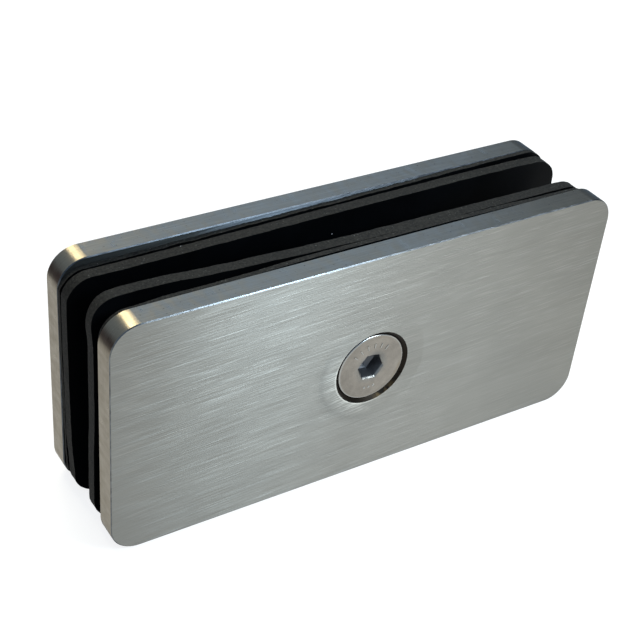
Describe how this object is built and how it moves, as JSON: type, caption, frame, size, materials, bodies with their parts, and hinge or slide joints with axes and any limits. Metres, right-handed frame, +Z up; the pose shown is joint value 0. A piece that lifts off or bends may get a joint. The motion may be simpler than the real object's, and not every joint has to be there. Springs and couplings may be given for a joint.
{
  "type": "glass panel clamp",
  "caption": "Clamp that joins glass panes edge to edge: rounded steel plates with rubber sheets, drawn together by a countersunk socket screw.",
  "frame": {"origin": "on the screw's axis, halfway between the plates' outer faces, which is the centre of the box", "axes": "+X along the plates, +Y from the front plate with the screw to the rear plate, +Z up"},
  "size_m": [0.09, 0.022, 0.042],
  "materials": {
    "plate_steel": "brushed along the length",
    "boss_steel": "turned",
    "screw_steel": "plain",
    "gasket_rubber": "matt, cut edges"
  },
  "bodies": {
    "rear": {"rear_plate": "plate_steel", "threaded_boss": "boss_steel", "rear_outer_gasket": "gasket_rubber", "rear_inner_gasket": "gasket_rubber"},
    "front": {"front_plate": "plate_steel", "front_outer_gasket": "gasket_rubber", "front_inner_gasket": "gasket_rubber"},
    "screw": {"clamp_screw": "screw_steel"}
  },
  "joints": [
    {"name": "plate_slide", "type": "slide", "parent": "rear", "child": "front", "axis": [0, 1, 0], "range_m": [-0.0045, 0.003]},
    {"name": "screw_turn", "type": "hinge", "parent": "front", "child": "screw", "pos_m": [0, -0.0106, 0], "axis": [0, 1, 0], "range_deg": [-1620, 1080]}
  ],
  "couplings": [
    {"joint": "screw_turn", "follows": "plate_slide", "rad_per_m": 6283.2}
  ]
}
